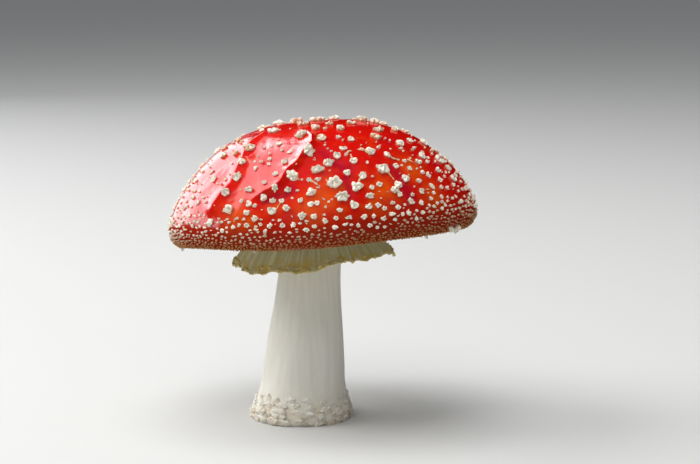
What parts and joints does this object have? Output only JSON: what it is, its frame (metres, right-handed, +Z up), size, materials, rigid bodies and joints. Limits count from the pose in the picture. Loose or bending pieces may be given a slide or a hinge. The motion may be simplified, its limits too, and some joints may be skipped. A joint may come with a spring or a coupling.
{
  "type": "fly agaric mushroom",
  "caption": "Fly agaric mushroom: red domed cap with pale warts, radial gills under it, a hanging skirt-like ring and a thick white stem cut flat at the foot to stand on.",
  "frame": {"origin": "middle of the flat cut under the foot of the stem, which the mushroom stands on", "axes": "+Z up, -Y to the front, +X to the right as seen from the front"},
  "size_m": [0.1204, 0.1189, 0.1186],
  "materials": {
    "cap_skin": "thin moist skin with a soft shine, scarlet to orange-red",
    "warts": "dry, crumbly, cream-white",
    "gills": "matt, cream",
    "ring": "matt, thin, finely grooved, with a yellowish floury edge",
    "stem": "matt, white, finely fibrous"
  },
  "bodies": {
    "root": {"cap": "cap_skin", "gills": "gills", "ring": "ring", "stem": "stem"}
  },
  "joints": []
}
